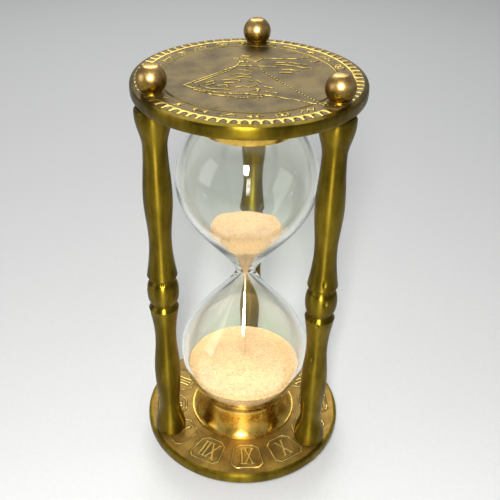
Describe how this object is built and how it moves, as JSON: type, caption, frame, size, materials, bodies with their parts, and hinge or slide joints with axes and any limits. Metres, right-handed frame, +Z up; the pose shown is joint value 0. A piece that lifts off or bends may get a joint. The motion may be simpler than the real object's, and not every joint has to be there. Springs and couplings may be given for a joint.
{
  "type": "hourglass",
  "caption": "Brass sand timer: a blown glass double bulb of sand between two round cast plates held apart by turned pillars with ball nuts.",
  "frame": {"origin": "centre of the base, on the table that the ball feet stand on", "axes": "+Z up through the glass's axis; one pillar at the back towards +Y, the other two at the front, towards -Y, one on each side"},
  "size_m": [0.084, 0.084, 0.174],
  "materials": {
    "plate_brass": "cast brass with a brown patina, relief rubbed bright",
    "collar_brass": "turned and polished",
    "pillar_brass": "turned, aged olive tarnish",
    "ball_brass": "turned, coppery tarnish",
    "stud_brass": "threaded rod",
    "bulb_glass": "clear blown, faint green tint",
    "seat_cork": "natural cork",
    "timer_sand": "fine dry sand, peach with dark specks"
  },
  "bodies": {
    "root": {"base_plate": "plate_brass", "top_plate": "plate_brass", "lower_collar": "collar_brass", "upper_collar": "collar_brass", "pillar_back": "pillar_brass", "pillar_left": "pillar_brass", "pillar_right": "pillar_brass", "finial_back": "ball_brass", "finial_left": "ball_brass", "finial_right": "ball_brass", "foot_back": "ball_brass", "foot_left": "ball_brass", "foot_right": "ball_brass", "top_stud_back": "stud_brass", "top_stud_left": "stud_brass", "top_stud_right": "stud_brass", "base_stud_back": "stud_brass", "base_stud_left": "stud_brass", "base_stud_right": "stud_brass", "lower_bulb": "bulb_glass", "upper_bulb": "bulb_glass", "lower_seat": "seat_cork", "upper_seat": "seat_cork", "filler_stopper": "seat_cork", "lower_sand": "timer_sand", "upper_sand": "timer_sand", "falling_sand": "timer_sand"}
  },
  "joints": []
}
